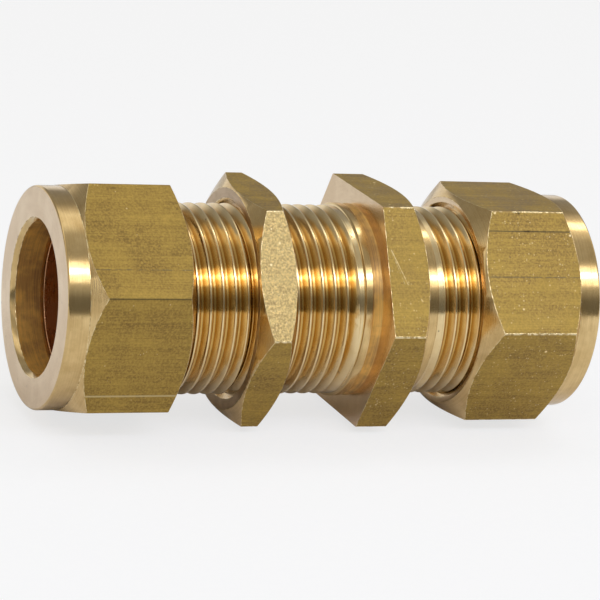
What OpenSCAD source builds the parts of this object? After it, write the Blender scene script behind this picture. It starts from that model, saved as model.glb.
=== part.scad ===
// Bulkhead compression coupling for a plain round tube.
// Millimetres, +Z up, the run of the tube along X.
// The origin is the centre of the flange face that bears on the panel.
// The left end points along -X and the right end along +X.
// Positions along the run are written as x stations, radii as r.

/* [Part to show] */
// Name of one piece, or all of them

/* [Tube] */
// Outside diameter of the tube
tube_od = 15.875; // [12:0.005:20]
// Radial room between the tube and its socket in the body
socket_clearance = 0.06; // [0.03:0.01:0.1]
// Radial room between the tube and an olive
olive_clearance = 0.08; // [0.06:0.01:0.12]
// Radial room between the tube and a nut's bore
nut_bore_clearance = 0.15; // [0.12:0.01:0.3]
// How far the tube goes into the body before it meets the stop
tube_depth = 14.4; // [10:0.1:17]
// Radial height of the stop inside the body
stop_lip = 1.1; // [0.6:0.1:1.6]

/* [Thread] */
// Metal from the tube to the crests of the thread
thread_wall = 2.3815; // [2:0.0005:3.2]
// Pitch of the thread
thread_pitch = 1.411; // [1:0.001:1.8]
// Radial room between the thread crests and the nuts that run on them
thread_clearance = 0.08; // [0.05:0.01:0.1]

/* [Body] */
// How far the flats of the fixed flange stand over the thread crests
flange_rise = 2.06; // [1:0.01:5]
// Thickness of the fixed flange
flange_w = 4.7; // [3:0.1:6]
// How far the body reaches from the panel face to the left
left_len = 29.4; // [24:0.1:36]
// How far the body reaches from the panel face to the right
right_len = 19.3; // [16:0.1:24]
// Radius that the panel shoulder stands above the thread
shoulder_rise = 0.25; // [0.1:0.05:0.5]
// Width of the panel shoulder
shoulder_w = 2; // [1:0.1:3]
// Radius that the plain neck on the right stays under the thread
neck_drop = 0.1; // [0:0.05:0.4]
// Width of the plain neck on the right of the flange
neck_w = 2; // [1:0.1:3]
// Length of the cone that the olive is pressed into
seat_len = 4; // [3.2:0.1:5]
// Radial width of that cone at its mouth
seat_rise = 1; // [0.8:0.05:1.2]

/* [Compression nuts] */
// How far the flats stand over the thread crests
nut_rise = 1.58; // [1.3:0.01:4]
// Length over the hexagon and the collar
nut_len = 13.95; // [12.5:0.05:16.8]
// Length of the plain turned collar
collar_len = 2.4; // [1.5:0.1:3]
// Radius that the collar stays under the flats
collar_drop = 0.05; // [0:0.01:0.3]
// Length of the bore that the tube runs through
nut_bore_len = 3.3; // [2.5:0.1:4]
// How far a tightened nut stands past the end of the body
nut_stand = 6.15; // [5:0.05:7.4]
// Turn of the left nut about the run at rest, in degrees
left_nut_turn = 16; // [-30:0.1:30]
// Turn of the right nut about the run at rest, in degrees
right_nut_turn = 0.8; // [-30:0.1:30]

/* [Lock nut] */
// How far the flats stand over the thread crests
lock_rise = 1.82; // [1:0.01:5]
// Thickness
lock_w = 4.1; // [3:0.1:5]
// Gap between the lock nut and the flange at rest
panel_gap = 10.1; // [8:0.1:12.5]
// Turn of the lock nut about the run at rest, in degrees
lock_turn = -2.4; // [-30:0.1:30]

/* [Olives] */
// Radial thickness at the thin end, in the body
olive_tip = 0.27; // [0.15:0.01:0.4]
// Radial thickness at the blunt end, in the nut
olive_end = 0.35; // [0.2:0.01:0.5]
// Radial room between an olive and the cones on both sides of it
olive_room = 0.1; // [0.05:0.01:0.15]

/* [Edges] */
// Slope of the hexagon chamfers, from the flat end face
hex_bevel = 30; // [20:1:40]
// Slope of the chamfer between a collar and its hexagon
collar_bevel = 35; // [25:1:45]
// Small edge break on turned rims
edge = 0.25; // [0.1:0.05:0.4]
// Depth of the countersink in each nut's mouth
countersink = 0.4; // [0.3:0.1:0.9]

/* [Hidden] */
$fn = 48;
brass = [0.66, 0.53, 0.27];
pale_brass = [0.74, 0.61, 0.36];
copper_brass = [0.62, 0.38, 0.22];

tube_r = tube_od / 2;
socket_r = tube_r + socket_clearance;
olive_r = tube_r + olive_clearance;
nut_bore_r = tube_r + nut_bore_clearance;
stop_r = socket_r - stop_lip;
seat_r = socket_r + seat_rise;
seat_slope = seat_rise / seat_len;

crest_r = tube_r + thread_wall;
root_r = crest_r - 0.6134 * thread_pitch;
nut_thread_r = crest_r + thread_clearance;
shoulder_r = crest_r + shoulder_rise;
neck_r = crest_r - neck_drop;

nut_flat_r = crest_r + nut_rise;
nut_corner_r = nut_flat_r / cos(30);
collar_r = nut_flat_r - collar_drop;
mouth_r = nut_thread_r + countersink;
flange_flat_r = crest_r + flange_rise;
flange_corner_r = flange_flat_r / cos(30);
lock_flat_r = crest_r + lock_rise;
lock_corner_r = lock_flat_r / cos(30);

olive_end_r = olive_r + olive_end;
olive_max_r = seat_r - olive_room;
olive_tip_r = olive_r + olive_tip;
olive_a = nut_bore_len + olive_end_r + olive_room - nut_bore_r;
olive_b = nut_stand + (olive_max_r - olive_tip_r) / seat_slope;
pocket_r = olive_max_r + olive_room;

// Everything is drawn along Z and laid along X here.
module along_x() {
    rotate([0, 90, 0])
        children();
}

// A turned shape: pairs of radius and station.
module turned(points) {
    rotate_extrude()
        polygon(points);
}

// A hexagon from station a to station b, with a flat underneath.
module hexagon(corner_r, a, b) {
    translate([0, 0, a])
        rotate([0, 0, 30])
            cylinder(r = corner_r, h = b - a, $fn = 6);
}

// Rings of a 60 degree thread from station a towards station b, as radius and station.
function thread_points(a, b, p) = [
    for (i = [0 : floor((b - a) / p) - 1])
        for (k = [[root_r, 1 / 12], [crest_r, 7 / 16], [crest_r, 9 / 16], [root_r, 11 / 12]])
            [k[0], a + (i + k[1]) * p]
];

// The outside of the body, threads and shoulder, from the left end to the right.
function body_outside() = concat(
    [[root_r, -left_len]],
    thread_points(-left_len, -shoulder_w - 0.3, thread_pitch),
    [[root_r, -shoulder_w - 0.25], [shoulder_r - 0.2, -shoulder_w], [shoulder_r, -shoulder_w + 0.2]],
    [[shoulder_r, flange_w / 2], [neck_r, flange_w / 2]],
    [[neck_r, flange_w + neck_w], [root_r, flange_w + neck_w + 0.4]],
    thread_points(flange_w + neck_w + 0.4, right_len, thread_pitch),
    [[root_r, right_len]]
);

// The inside of the body: seat, socket and stop, then the same again.
function body_inside() = [
    [seat_r, right_len],
    [socket_r, right_len - seat_len],
    [socket_r, right_len - tube_depth],
    [stop_r, right_len - tube_depth],
    [stop_r, -left_len + tube_depth],
    [socket_r, -left_len + tube_depth],
    [socket_r, -left_len + seat_len],
    [seat_r, -left_len]
];

// Chamfered outline of the flange: flat on the panel side, bevelled on the other.
module flange_outline() {
    bevel_r = flange_flat_r - 0.1;
    rise = (flange_corner_r + 1 - bevel_r) * tan(hex_bevel);
    turned([
        [0, 0],
        [flange_corner_r + 1, 0],
        [flange_corner_r + 1, flange_w - rise],
        [bevel_r, flange_w],
        [0, flange_w]
    ]);
}

module fitting_body() {
    color(brass)
        along_x()
            difference() {
                union() {
                    turned(concat([[0, -left_len]], body_outside(), [[0, right_len]]));
                    intersection() {
                        hexagon(flange_corner_r, 0, flange_w);
                        flange_outline();
                    }
                }
                turned(concat(
                    [[0, right_len + 1], [seat_r + seat_slope, right_len + 1]],
                    body_inside(),
                    [[seat_r + seat_slope, -left_len - 1], [0, -left_len - 1]]
                ));
            }
}

module lock_nut() {
    a = -panel_gap - lock_w;
    b = -panel_gap;
    bevel_r = lock_flat_r - 0.1;
    reach_r = lock_corner_r + 1;
    rise = (reach_r - bevel_r) * tan(hex_bevel);
    sink = countersink;
    color(pale_brass)
        along_x()
            rotate([0, 0, -lock_turn])
                difference() {
                    intersection() {
                        hexagon(lock_corner_r, a, b);
                        turned([
                            [0, a],
                            [bevel_r, a],
                            [reach_r, a + rise],
                            [reach_r, b - rise],
                            [bevel_r, b],
                            [0, b]
                        ]);
                    }
                    turned([
                        [0, a - 1],
                        [nut_thread_r + sink + 1, a - 1],
                        [nut_thread_r, a + sink],
                        [nut_thread_r, b - sink],
                        [nut_thread_r + sink + 1, b + 1],
                        [0, b + 1]
                    ]);
                }
}

// A compression nut with its outer face at station 0 and its mouth at nut_len.
module nut_shape() {
    bevel_r = nut_flat_r - 0.4;
    reach_r = nut_corner_r + 1;
    hex_a = collar_len;
    front = (reach_r - collar_r) * tan(collar_bevel);
    rear = (reach_r - bevel_r) * tan(hex_bevel);
    seat_end = nut_bore_len + pocket_r - nut_bore_r;
    relief = nut_stand - 0.5;
    difference() {
        union() {
            turned([
                [0, 0],
                [collar_r - edge, 0],
                [collar_r, edge],
                [collar_r, hex_a + 1],
                [0, hex_a + 1]
            ]);
            intersection() {
                hexagon(nut_corner_r, hex_a, nut_len);
                turned([
                    [0, hex_a],
                    [collar_r, hex_a],
                    [reach_r, hex_a + front],
                    [reach_r, nut_len - rear],
                    [bevel_r, nut_len],
                    [0, nut_len]
                ]);
            }
        }
        turned([
            [0, -1],
            [nut_bore_r + edge + 1, -1],
            [nut_bore_r, edge],
            [nut_bore_r, nut_bore_len],
            [pocket_r, seat_end],
            [pocket_r, relief],
            [nut_thread_r, relief],
            [nut_thread_r, nut_len - countersink],
            [mouth_r + 1, nut_len + 1],
            [0, nut_len + 1]
        ]);
    }
}

// An olive inside a nut whose outer face is at station 0.
module olive_shape() {
    turned([
        [olive_r, olive_a],
        [olive_end_r, olive_a],
        [olive_max_r, olive_a + olive_max_r - olive_end_r],
        [olive_max_r, nut_stand],
        [olive_tip_r, olive_b],
        [olive_r, olive_b]
    ]);
}

module left_nut() {
    color(brass)
        along_x()
            translate([0, 0, -left_len - nut_stand])
                rotate([0, 0, -left_nut_turn])
                    nut_shape();
}

module right_nut() {
    color(brass)
        along_x()
            translate([0, 0, right_len + nut_stand])
                rotate([0, 0, -right_nut_turn])
                    mirror([0, 0, 1])
                        nut_shape();
}

module left_olive() {
    color(copper_brass)
        along_x()
            translate([0, 0, -left_len - nut_stand])
                olive_shape();
}

module right_olive() {
    color(copper_brass)
        along_x()
            translate([0, 0, right_len + nut_stand])
                mirror([0, 0, 1])
                    olive_shape();
}

fitting_body();
lock_nut();
left_nut();
right_nut();
left_olive();
right_olive();
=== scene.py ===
"""A bulkhead compression coupling in brass, shown on a pale floor.

Each physical piece is one mesh that stands for its CAD node and rides on its body. Lengths in the
classes are in millimetres, with X along the run of the tube; places along the run come from the frame.
"""
import logging
import math
from dataclasses import dataclass, field
from enum import Enum
from typing import Callable, Iterable, Sequence

import bpy
from mathutils import Euler, Matrix, Vector


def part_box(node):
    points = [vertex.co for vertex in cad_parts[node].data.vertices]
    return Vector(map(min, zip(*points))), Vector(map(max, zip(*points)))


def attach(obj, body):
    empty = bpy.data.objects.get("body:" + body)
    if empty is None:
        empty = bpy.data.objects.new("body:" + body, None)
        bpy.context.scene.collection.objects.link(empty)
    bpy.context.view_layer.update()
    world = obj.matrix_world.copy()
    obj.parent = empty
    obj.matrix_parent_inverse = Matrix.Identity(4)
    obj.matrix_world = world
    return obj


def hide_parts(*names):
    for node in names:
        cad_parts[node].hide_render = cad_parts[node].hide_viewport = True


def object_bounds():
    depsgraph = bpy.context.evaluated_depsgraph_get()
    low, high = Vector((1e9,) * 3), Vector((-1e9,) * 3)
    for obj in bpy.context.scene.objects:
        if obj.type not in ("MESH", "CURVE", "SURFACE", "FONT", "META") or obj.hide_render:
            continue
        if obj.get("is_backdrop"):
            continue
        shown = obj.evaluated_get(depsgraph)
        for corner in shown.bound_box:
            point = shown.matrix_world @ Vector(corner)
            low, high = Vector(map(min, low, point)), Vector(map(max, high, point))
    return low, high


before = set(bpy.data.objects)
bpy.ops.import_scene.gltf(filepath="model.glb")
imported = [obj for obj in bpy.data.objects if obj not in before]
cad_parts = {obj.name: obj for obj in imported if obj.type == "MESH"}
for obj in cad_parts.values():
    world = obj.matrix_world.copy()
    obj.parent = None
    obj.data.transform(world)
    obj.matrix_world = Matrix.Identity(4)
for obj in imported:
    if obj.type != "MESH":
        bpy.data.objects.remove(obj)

LOG = logging.getLogger("coupling")
MM = 0.001
X_AXIS = (1.0, 0.0, 0.0)
SEGMENTS = 144  # faces round a full turn
MERGE = 0.002 * MM  # corners nearer than this are one corner
RIDGE = 1.08  # past this share of the flats' distance, a face of a hexagon is its rounded ridge
RIDGE_ROUND = 0.12  # rounding of a hexagon bar's ridges, in millimetres
EDGE_ROUND = 0.09  # rounding of machined edges, in millimetres
BEVEL_SLOPE = math.tan(math.radians(30))  # rise along X for each millimetre of radius on a nut's bevel
Station = tuple[float, float]  # place along X and radius, in millimetres
Colour = tuple[float, float, float, float]
Wire = object  # a value, or a socket that feeds it


class Cut(Enum):
    """What a second solid does to the first."""

    ADD = "UNION"
    KEEP = "INTERSECT"
    TAKE = "DIFFERENCE"


class End(Enum):
    """Which end of the coupling a piece belongs to, as the sign of its outward direction along X."""

    LEFT = -1
    RIGHT = 1


class Surface(Enum):
    """How a face was made, which decides its finish; one kind is also painted lighter on the one flat that
    the soft box falls on.
    """

    DRAWN = 0
    TURNED = 1
    THREAD = 2
    EDGE = 3
    FACED = 4
    BORED = 5
    # a grainier flat, painted lighter and with many glints: painted light on the flat that faces the soft
    # box
    SANDED = 6


# ---------------------------------------------------------------- workbench


def clear_selection() -> None:
    """Leave nothing selected and no object in edit mode."""
    if bpy.context.object and bpy.context.object.mode != "OBJECT":
        bpy.ops.object.mode_set(mode="OBJECT")
    bpy.ops.object.select_all(action="DESELECT")


def take_up(piece: bpy.types.Object) -> None:
    """Make a piece the only one selected, and the active one.

    Args:
        piece: the piece to work on.
    """
    clear_selection()
    piece.select_set(True)
    bpy.context.view_layer.objects.active = piece


def cut_with(piece: bpy.types.Object, tool: bpy.types.Object, how: Cut) -> None:
    """Add, keep or take away the volume of a tool solid, which is used up.

    Args:
        piece: the solid that is changed.
        tool: the solid it is combined with.
        how: the kind of cut.
    """
    take_up(piece)
    modifier = piece.modifiers.new("cut", "BOOLEAN")
    modifier.operation = how.value
    modifier.solver = "EXACT"
    modifier.object = tool
    bpy.ops.object.modifier_apply(modifier=modifier.name)
    bpy.data.objects.remove(tool)


def clean_up(piece: bpy.types.Object, distance: float = MERGE) -> None:
    """Merge doubled corners and point all faces outwards.

    Args:
        piece: the mesh to clean.
        distance: how near two corners must be to merge, in metres.
    """
    take_up(piece)
    bpy.ops.object.mode_set(mode="EDIT")
    bpy.ops.mesh.select_all(action="SELECT")
    bpy.ops.mesh.remove_doubles(threshold=distance)
    bpy.ops.mesh.normals_make_consistent(inside=False)
    bpy.ops.object.mode_set(mode="OBJECT")


def close_gaps(piece: bpy.types.Object) -> None:
    """Put back any small face that a cut has lost.

    Args:
        piece: the mesh to close.
    """
    take_up(piece)
    bpy.ops.object.mode_set(mode="EDIT")
    bpy.ops.mesh.select_mode(type="VERT")
    bpy.ops.mesh.select_all(action="DESELECT")
    bpy.ops.mesh.select_non_manifold(
        use_wire=False, use_multi_face=False, use_non_contiguous=False, use_verts=False
    )
    bpy.ops.mesh.fill_holes(sides=8)
    bpy.ops.object.mode_set(mode="OBJECT")


def draw_chain(name: str, stations: Sequence[Station]) -> bpy.types.Object:
    """Draw an open chain of edges above the axis, one corner at a time.

    Args:
        name: the object's name.
        stations: pairs of place along X and radius, in millimetres.

    Returns:
        The new object, holding only the chain.
    """
    clear_selection()
    bpy.ops.mesh.primitive_plane_add(size=MM)
    chain = bpy.context.object
    chain.name = name
    bpy.ops.object.mode_set(mode="EDIT")
    bpy.ops.mesh.select_all(action="SELECT")
    bpy.ops.mesh.merge(type="CENTER")
    (x, r), rest = stations[0], stations[1:]
    bpy.ops.transform.translate(value=(x * MM, 0.0, r * MM))
    for next_x, next_r in rest:
        move = ((next_x - x) * MM, 0.0, (next_r - r) * MM)
        bpy.ops.mesh.extrude_region_move(TRANSFORM_OT_translate={"value": move})
        x, r = next_x, next_r
    bpy.ops.object.mode_set(mode="OBJECT")
    return chain


def turn_solid(name: str, outline: Sequence[Station]) -> bpy.types.Object:
    """Turn a closed outline about the X axis, as on a lathe.

    Args:
        name: the object's name.
        outline: corners of the section as place along X and radius, in millimetres.

    Returns:
        A closed solid.
    """
    solid = draw_chain(name, [*outline, outline[0]])
    take_up(solid)
    bpy.ops.object.mode_set(mode="EDIT")
    bpy.ops.mesh.select_all(action="SELECT")
    bpy.ops.mesh.spin(steps=SEGMENTS, angle=2 * math.pi, center=(0, 0, 0), axis=X_AXIS)
    bpy.ops.object.mode_set(mode="OBJECT")
    clean_up(solid)
    return solid


def round_corners(
    outline: Sequence[Station], radii: dict[int, float], steps: int = 4
) -> list[Station]:
    """Replace chosen corners of a section with arcs.

    Args:
        outline: the section's corners.
        radii: corner number to arc radius, in millimetres.
        steps: edges in each arc.

    Returns:
        The section with its arcs.
    """
    rounded: list[Station] = []
    for i, corner in enumerate(outline):
        if i not in radii:
            rounded.append(corner)
            continue
        here = Vector(corner)
        before = (Vector(outline[i - 1]) - here).normalized()
        after = (Vector(outline[(i + 1) % len(outline)]) - here).normalized()
        half = before.angle(after) / 2
        reach = radii[i] / math.tan(half)
        centre = here + (before + after).normalized() * radii[i] / math.sin(half)
        start, end = here + before * reach - centre, here + after * reach - centre
        sweep = start.angle_signed(end)
        for k in range(steps + 1):
            spoke = start.copy()
            spoke.rotate(Matrix.Rotation(-sweep * k / steps, 2))
            rounded.append(tuple(centre + spoke))
    return rounded


def hexagon_bar(
    name: str, flats: float, low: float, high: float, turn: float, ridge: float
) -> bpy.types.Object:
    """A length of hexagon bar along X with slightly rounded ridges.

    Args:
        name: the object's name.
        flats: distance from the axis to a flat, in millimetres.
        low: where it starts along X, in millimetres.
        high: where it ends along X, in millimetres.
        turn: its turn about X, in degrees, 0 with a flat underneath.
        ridge: width of the rounding on the six ridges, in millimetres.

    Returns:
        A closed solid.
    """
    clear_selection()
    corner = flats / math.cos(math.pi / 6)
    bpy.ops.mesh.primitive_cylinder_add(vertices=6, radius=corner * MM, depth=(high - low) * MM)
    bar = bpy.context.object
    bar.name = name
    bar.matrix_world = (
        Matrix.Translation(((low + high) / 2 * MM, 0, 0))
        @ Matrix.Rotation(math.radians(-turn), 4, "X")
        @ Matrix.Rotation(math.pi / 2, 4, "Y")
    )
    bpy.ops.object.transform_apply(location=True, rotation=True, scale=True)
    bpy.ops.object.mode_set(mode="EDIT")
    bpy.ops.mesh.select_mode(type="EDGE")
    bpy.ops.mesh.select_all(action="DESELECT")
    bpy.ops.object.mode_set(mode="OBJECT")
    for edge in bar.data.edges:
        a, b = (bar.data.vertices[v].co for v in edge.vertices)
        edge.select = abs(a.x - b.x) > 0.5 * (high - low) * MM
    bpy.ops.object.mode_set(mode="EDIT")
    bpy.ops.mesh.bevel(offset=ridge * MM, segments=3, profile=0.5)
    bpy.ops.mesh.select_mode(type="VERT")
    bpy.ops.object.mode_set(mode="OBJECT")
    return bar


def break_edges(
    piece: bpy.types.Object, width: float, coats: Sequence[bpy.types.Material], angle: float = 24.0
) -> None:
    """Round the sharp edges a little, as on a real part, and mark the narrow faces as rubbed.

    Args:
        piece: the solid.
        width: width of the rounding, in millimetres.
        coats: the piece's materials, one for each Surface.
        angle: least turn between two faces that is rounded, in degrees.
    """
    take_up(piece)
    piece.data.materials.clear()
    for coat in coats:
        piece.data.materials.append(coat)
    modifier = piece.modifiers.new("edges", "BEVEL")
    modifier.width = width * MM
    modifier.segments = 2
    modifier.limit_method = "ANGLE"
    modifier.angle_limit = math.radians(angle)
    modifier.use_clamp_overlap = True
    modifier.material = Surface.EDGE.value
    bpy.ops.object.modifier_apply(modifier=modifier.name)


def shade(piece: bpy.types.Object, angle: float = 32.0) -> None:
    """Shade smooth, except across edges sharper than the angle, and keep broad faces flat.

    Args:
        piece: the mesh.
        angle: in degrees.
    """
    take_up(piece)
    bpy.ops.object.shade_smooth_by_angle(angle=math.radians(angle))
    modifier = piece.modifiers.new("flat_faces", "WEIGHTED_NORMAL")
    modifier.keep_sharp = True
    bpy.ops.object.modifier_apply(modifier=modifier.name)


def paint(
    piece: bpy.types.Object,
    coats: Sequence[bpy.types.Material],
    rule: Callable[[Vector, Vector], Surface],
) -> None:
    """Give every face the finish its place and normal call for, and leave rubbed edges alone.

    Args:
        piece: the mesh.
        coats: one material for each Surface, in order.
        rule: from a face's centre in millimetres and its normal to how it was made.
    """
    made = [face.material_index for face in piece.data.polygons]
    piece.data.materials.clear()
    for coat in coats:
        piece.data.materials.append(coat)
    for face, index in zip(piece.data.polygons, made):
        rubbed = index == Surface.EDGE.value
        face.material_index = index if rubbed else rule(face.center / MM, face.normal).value


def off_axis(point: Vector) -> float:
    """Distance of a point from the X axis."""
    return math.hypot(point.y, point.z)


# ---------------------------------------------------------------- the thread


def full_depth(x: float) -> Station:
    """Limits that leave a thread whole, as on a tap."""
    return 0.0, 99.0


@dataclass(frozen=True)
class Thread:
    """A right-hand 60 degree thread along X, shared by the body and the nuts that run on it."""

    crest: float = 10.319
    pitch: float = 1.411
    crest_flat: float = 0.176
    depth: float = 0.866
    tap_depth: float = 0.764
    play: float = 0.04

    @property
    def minor(self) -> float:
        """Radius of the hole that is tapped, in millimetres."""
        return self.crest - self.tap_depth

    def tooth(self, female: bool) -> list[Station]:
        """One pitch of the profile, from the middle of a root to the middle of the next.

        Args:
            female: True for the shape of the tap that cuts the nuts, which is a little larger.

        Returns:
            Pairs of place from the crest and radius.
        """
        crest = self.crest + (0.04 if female else -0.02)
        root = self.minor if female else self.crest - self.depth
        slope = math.tan(math.radians(30))
        half_crest = self.crest_flat / 2 + (self.play - 0.06 * slope if female else 0.0)
        half_root = half_crest + (crest - root) * slope
        half = self.pitch / 2
        line = [
            (-half, root), (-half_root, root), (-half_crest, crest),
            (half_crest, crest), (half_root, root), (half, root),
        ]
        if female:
            return line
        return round_corners(line, {1: 0.12, 2: 0.07, 3: 0.07, 4: 0.12}, steps=2)

    def rod(
        self,
        name: str,
        low: float,
        high: float,
        limits: Callable[[float], Station],
        female: bool = False,
    ) -> bpy.types.Object:
        """A closed threaded rod.

        Args:
            name: the object's name.
            low: where it starts along X, in millimetres.
            high: where it ends along X, in millimetres.
            limits: from a place along X to the least and greatest radius there.
            female: True for a tap.

        Returns:
            The rod, with flat ends.
        """
        first = (math.floor(low / self.pitch) - 1) * self.pitch
        turns = math.ceil((high - first) / self.pitch) + 1
        rod = draw_chain(name, [(first + x, r) for x, r in self.tooth(female)])
        take_up(rod)
        screw = rod.modifiers.new("screw", "SCREW")
        screw.axis = "X"
        screw.angle = 2 * math.pi
        screw.screw_offset = self.pitch * MM
        screw.iterations = turns
        screw.steps = screw.render_steps = SEGMENTS
        screw.use_smooth_shade = True
        bpy.ops.object.modifier_apply(modifier=screw.name)
        bpy.ops.object.mode_set(mode="EDIT")
        bpy.ops.mesh.select_all(action="SELECT")
        bpy.ops.mesh.remove_doubles(threshold=MERGE)
        for place, side in ((low, -1), (high, 1)):
            bpy.ops.mesh.select_all(action="SELECT")
            bpy.ops.mesh.bisect(
                plane_co=(place * MM, 0, 0),
                plane_no=(side, 0, 0),
                use_fill=True,
                clear_outer=True,
                threshold=MERGE / 20,
            )
        bpy.ops.object.mode_set(mode="OBJECT")
        for corner in rod.data.vertices:
            radius = math.hypot(corner.co.y, corner.co.z) / MM
            if radius > 1.0:
                least, most = limits(corner.co.x / MM)
                share = min(max(radius, least), most) / radius
                corner.co.y *= share
                corner.co.z *= share
        clean_up(rod)
        return rod


# ---------------------------------------------------------------- the pieces


@dataclass
class Piece:
    """One physical piece: its CAD node, the body it rides on and its slot name, which is not used."""

    node: str
    body: str
    slot: str
    low: float = field(init=False)
    high: float = field(init=False)

    def __post_init__(self) -> None:
        """Read the piece's reach along X from the frame, in millimetres."""
        corner_a, corner_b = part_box(self.node)
        self.low, self.high = corner_a.x / MM, corner_b.x / MM

    def hand_over(self, mesh: bpy.types.Object) -> bpy.types.Object:
        """Put the finished mesh on its body in place of the CAD node.

        Args:
            mesh: the finished mesh.

        Returns:
            The same object.
        """
        mesh.name = self.node + "_looks"
        clear_selection()
        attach(mesh, self.body)
        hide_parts(self.node)
        faces = len(mesh.data.polygons)
        LOG.info("%s: %d faces, %.2f to %.2f mm", mesh.name, faces, self.low, self.high)
        return mesh


@dataclass
class FittingBody(Piece):
    """The body: flange, panel shoulder, plain neck, both threads, and the way through."""

    node: str = "fitting_body"
    body: str = "body"
    slot: str = "body_brass"
    thread: Thread = Thread()
    flats: float = 12.38
    flange_width: float = 4.7
    shoulder: float = 10.569
    shoulder_width: float = 2.0
    relief_width: float = 1.0
    neck: float = 10.219
    neck_width: float = 2.0
    core: float = 9.2
    socket: float = 7.9975
    seat: float = 8.9975
    seat_length: float = 4.0
    socket_depth: float = 14.4
    way_through: float = 6.8975

    def flange(self, coats: Sequence[bpy.types.Material]) -> bpy.types.Object:
        """The hexagon flange, flat towards the panel and bevelled on the other side.

        Args:
            coats: the body's materials, one for each Surface.

        Returns:
            A closed solid with broken edges.
        """
        width, reach, bevel = self.flange_width, self.flats + 4, self.flats - 0.06
        bar = hexagon_bar("flange", self.flats, 0.0, width + 1, 0.0, RIDGE_ROUND)
        start = width - (reach - bevel) * BEVEL_SLOPE
        outline = [(-1, 5), (-1, reach), (start, reach), (width, bevel), (width, 5)]
        cut_with(bar, turn_solid("flange_outline", outline), Cut.KEEP)
        clean_up(bar)
        break_edges(bar, EDGE_ROUND, coats)
        return bar

    def turned_core(self) -> bpy.types.Object:
        """All that is turned on the outside, under the threads.

        Returns:
            A ring that the threads and the flange are added to.
        """
        left, right = self.low + 1, self.high - 1
        neck_end = self.flange_width + self.neck_width
        outline = [
            (left, 5), (left, self.core), (-self.shoulder_width - 0.35, self.core),
            (-self.shoulder_width - 0.02, self.shoulder - 0.14),
            (-self.shoulder_width + 0.12, self.shoulder),
            (-self.relief_width - 0.15, self.shoulder), (-self.relief_width, self.shoulder - 0.2),
            (-0.25, self.shoulder - 0.2), (0.1, self.shoulder),
            (self.flange_width - 0.4, self.neck), (neck_end - 0.1, self.neck),
            (neck_end + 0.1, self.neck - 0.15), (neck_end + 0.4, self.core), (right, self.core),
            (right, 5),
        ]
        return turn_solid("turned_core", outline)

    def left_limits(self, x: float) -> Station:
        """The left thread's lead chamfer, and its run-out at the shoulder.

        Args:
            x: place along X, in millimetres.

        Returns:
            The least and greatest radius there.
        """
        run_out = self.thread.crest - (-self.shoulder_width - 0.55 - x) * 1.1
        lead = self.thread.crest - self.thread.depth - 0.05 + (x - self.low) * 1.1
        return min(run_out, self.thread.crest - 0.03), lead

    def right_limits(self, x: float) -> Station:
        """The right thread's run-out at the neck, and its lead chamfer.

        Args:
            x: place along X, in millimetres.

        Returns:
            The least and greatest radius there.
        """
        start = self.flange_width + self.neck_width
        run_out = self.neck - 0.04 - (x - start - 0.25) * 1.1
        lead = self.thread.crest - self.thread.depth - 0.05 + (self.high - x) * 1.1
        return min(run_out, self.neck - 0.04), min(lead, self.neck - 0.04 + max(0.0, x - start) * 0.5)

    def way(self) -> bpy.types.Object:
        """The tool that leaves the two seats, the two sockets and the stop between them.

        Returns:
            A closed solid, longer than the body.
        """
        left, right = self.low, self.high
        spread = self.seat + (self.seat - self.socket) / self.seat_length
        outline = [
            (left - 1, 0.0), (left - 1, spread), (left + self.seat_length, self.socket),
            (left + self.socket_depth, self.socket), (left + self.socket_depth, self.way_through),
            (right - self.socket_depth, self.way_through), (right - self.socket_depth, self.socket),
            (right - self.seat_length, self.socket), (right + 1, spread), (right + 1, 0.0),
        ]
        return turn_solid("way", outline)

    def surface(self, centre: Vector, normal: Vector) -> Surface:
        """How a face of the body was made.

        Args:
            centre: the face's centre, in millimetres.
            normal: its outward normal.

        Returns:
            The kind of surface.
        """
        radius = off_axis(centre)
        if radius > self.flats - 0.03 and abs(normal.x) < 0.05:
            return Surface.EDGE if radius > self.flats * RIDGE else Surface.DRAWN
        if radius < self.seat + 0.02 and abs(normal.x) < 0.9:
            return Surface.BORED
        in_relief = -self.relief_width - 0.02 < centre.x < 0.1 and radius < self.shoulder - 0.01
        if in_relief and abs(normal.x) < 0.9:
            return Surface.BORED
        on_left = centre.x < -self.shoulder_width - 0.02
        on_right = centre.x > self.flange_width + self.neck_width
        if radius > self.core and (on_left or on_right) and abs(normal.x) < 0.999:
            return Surface.THREAD
        return Surface.FACED if abs(normal.x) > 0.9 else Surface.TURNED

    def build(self, coats: Sequence[bpy.types.Material]) -> bpy.types.Object:
        """Build and dress the body.

        Args:
            coats: its materials, one for each Surface.

        Returns:
            The finished piece.
        """
        mesh = self.turned_core()
        for coat in coats:
            mesh.data.materials.append(coat)
        shoulder_start, neck_end = -self.shoulder_width + 0.3, self.flange_width + self.neck_width - 0.3
        additions = (
            self.flange(coats),
            self.thread.rod("left_thread", self.low, shoulder_start, self.left_limits),
            self.thread.rod("right_thread", neck_end, self.high, self.right_limits),
        )
        for addition in additions:
            cut_with(mesh, addition, Cut.ADD)
            close_gaps(mesh)
        cut_with(mesh, self.way(), Cut.TAKE)
        clean_up(mesh)
        close_gaps(mesh)
        clean_up(mesh)
        shade(mesh)
        paint(mesh, coats, self.surface)
        return self.hand_over(mesh)


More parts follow.
